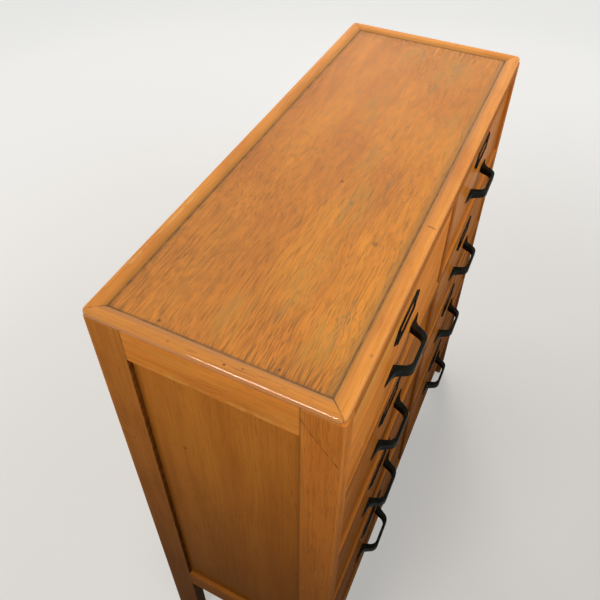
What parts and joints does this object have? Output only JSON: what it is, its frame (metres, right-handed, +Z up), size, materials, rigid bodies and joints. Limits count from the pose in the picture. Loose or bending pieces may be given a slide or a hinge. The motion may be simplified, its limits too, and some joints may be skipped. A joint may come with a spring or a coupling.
{
  "type": "chest of drawers",
  "caption": "Free-standing varnished oak chest of drawers with panelled ends, a mitred top, straight legs, sliding dovetailed drawers, iron strap pulls and card frames.",
  "frame": {"origin": "on the floor, under the middle of the whole box with the pulls", "axes": "+Z up, drawers open towards -Y, +X to the right of someone facing the drawers"},
  "size_m": [0.833, 0.356, 0.96],
  "materials": {
    "carcase_oak": "varnished",
    "top_veneer": "varnished",
    "end_panel_ply": "varnished",
    "back_ply": "bare",
    "drawer_front_oak": "varnished",
    "drawer_box_wood": "bare",
    "black_iron": "satin black",
    "card_frame_black": "satin black"
  },
  "bodies": {
    "carcase": {"right_front_stile": "carcase_oak", "right_back_stile": "carcase_oak", "right_end_panel": "end_panel_ply", "right_top_rail": "carcase_oak", "right_bottom_rail": "carcase_oak", "left_front_stile": "carcase_oak", "left_back_stile": "carcase_oak", "left_end_panel": "end_panel_ply", "left_top_rail": "carcase_oak", "left_bottom_rail": "carcase_oak", "top_panel": "top_veneer", "top_edging_front": "carcase_oak", "top_edging_right": "carcase_oak", "top_edging_back": "carcase_oak", "top_edging_left": "carcase_oak", "front_top_rail": "carcase_oak", "front_bottom_rail": "carcase_oak", "drawer_rails_upper": "carcase_oak", "drawer_rails_middle": "carcase_oak", "drawer_rails_lower": "carcase_oak", "front_muntin": "carcase_oak", "back_muntin": "carcase_oak", "centre_partition": "back_ply", "back_bottom_rail": "carcase_oak", "back_top_rail": "carcase_oak", "back_panel": "back_ply", "drawer_runners": "drawer_box_wood", "drawer_stops": "drawer_box_wood"},
    "drawer_left_1": {"drawer_left_1_front": "drawer_front_oak", "drawer_left_1_box": "drawer_box_wood", "drawer_left_1_pull": "black_iron", "drawer_left_1_card_frame": "card_frame_black"},
    "drawer_left_2": {"drawer_left_2_front": "drawer_front_oak", "drawer_left_2_box": "drawer_box_wood", "drawer_left_2_pull": "black_iron", "drawer_left_2_card_frame": "card_frame_black"},
    "drawer_left_3": {"drawer_left_3_front": "drawer_front_oak", "drawer_left_3_box": "drawer_box_wood", "drawer_left_3_pull": "black_iron", "drawer_left_3_card_frame": "card_frame_black"},
    "drawer_left_4": {"drawer_left_4_front": "drawer_front_oak", "drawer_left_4_box": "drawer_box_wood", "drawer_left_4_pull": "black_iron", "drawer_left_4_card_frame": "card_frame_black"},
    "drawer_right_1": {"drawer_right_1_front": "drawer_front_oak", "drawer_right_1_box": "drawer_box_wood", "drawer_right_1_pull": "black_iron", "drawer_right_1_card_frame": "card_frame_black"},
    "drawer_right_2": {"drawer_right_2_front": "drawer_front_oak", "drawer_right_2_box": "drawer_box_wood", "drawer_right_2_pull": "black_iron", "drawer_right_2_card_frame": "card_frame_black"},
    "drawer_right_3": {"drawer_right_3_front": "drawer_front_oak", "drawer_right_3_box": "drawer_box_wood", "drawer_right_3_pull": "black_iron", "drawer_right_3_card_frame": "card_frame_black"},
    "drawer_right_4": {"drawer_right_4_front": "drawer_front_oak", "drawer_right_4_box": "drawer_box_wood", "drawer_right_4_pull": "black_iron", "drawer_right_4_card_frame": "card_frame_black"}
  },
  "joints": [
    {"name": "drawer_left_1_slide", "type": "slide", "parent": "carcase", "child": "drawer_left_1", "axis": [0, -1, 0], "range_m": [0, 0.24]},
    {"name": "drawer_left_2_slide", "type": "slide", "parent": "carcase", "child": "drawer_left_2", "axis": [0, -1, 0], "range_m": [0, 0.24]},
    {"name": "drawer_left_3_slide", "type": "slide", "parent": "carcase", "child": "drawer_left_3", "axis": [0, -1, 0], "range_m": [0, 0.24]},
    {"name": "drawer_left_4_slide", "type": "slide", "parent": "carcase", "child": "drawer_left_4", "axis": [0, -1, 0], "range_m": [0, 0.24]},
    {"name": "drawer_right_1_slide", "type": "slide", "parent": "carcase", "child": "drawer_right_1", "axis": [0, -1, 0], "range_m": [0, 0.24]},
    {"name": "drawer_right_2_slide", "type": "slide", "parent": "carcase", "child": "drawer_right_2", "axis": [0, -1, 0], "range_m": [0, 0.24]},
    {"name": "drawer_right_3_slide", "type": "slide", "parent": "carcase", "child": "drawer_right_3", "axis": [0, -1, 0], "range_m": [0, 0.24]},
    {"name": "drawer_right_4_slide", "type": "slide", "parent": "carcase", "child": "drawer_right_4", "axis": [0, -1, 0], "range_m": [0, 0.24]}
  ]
}
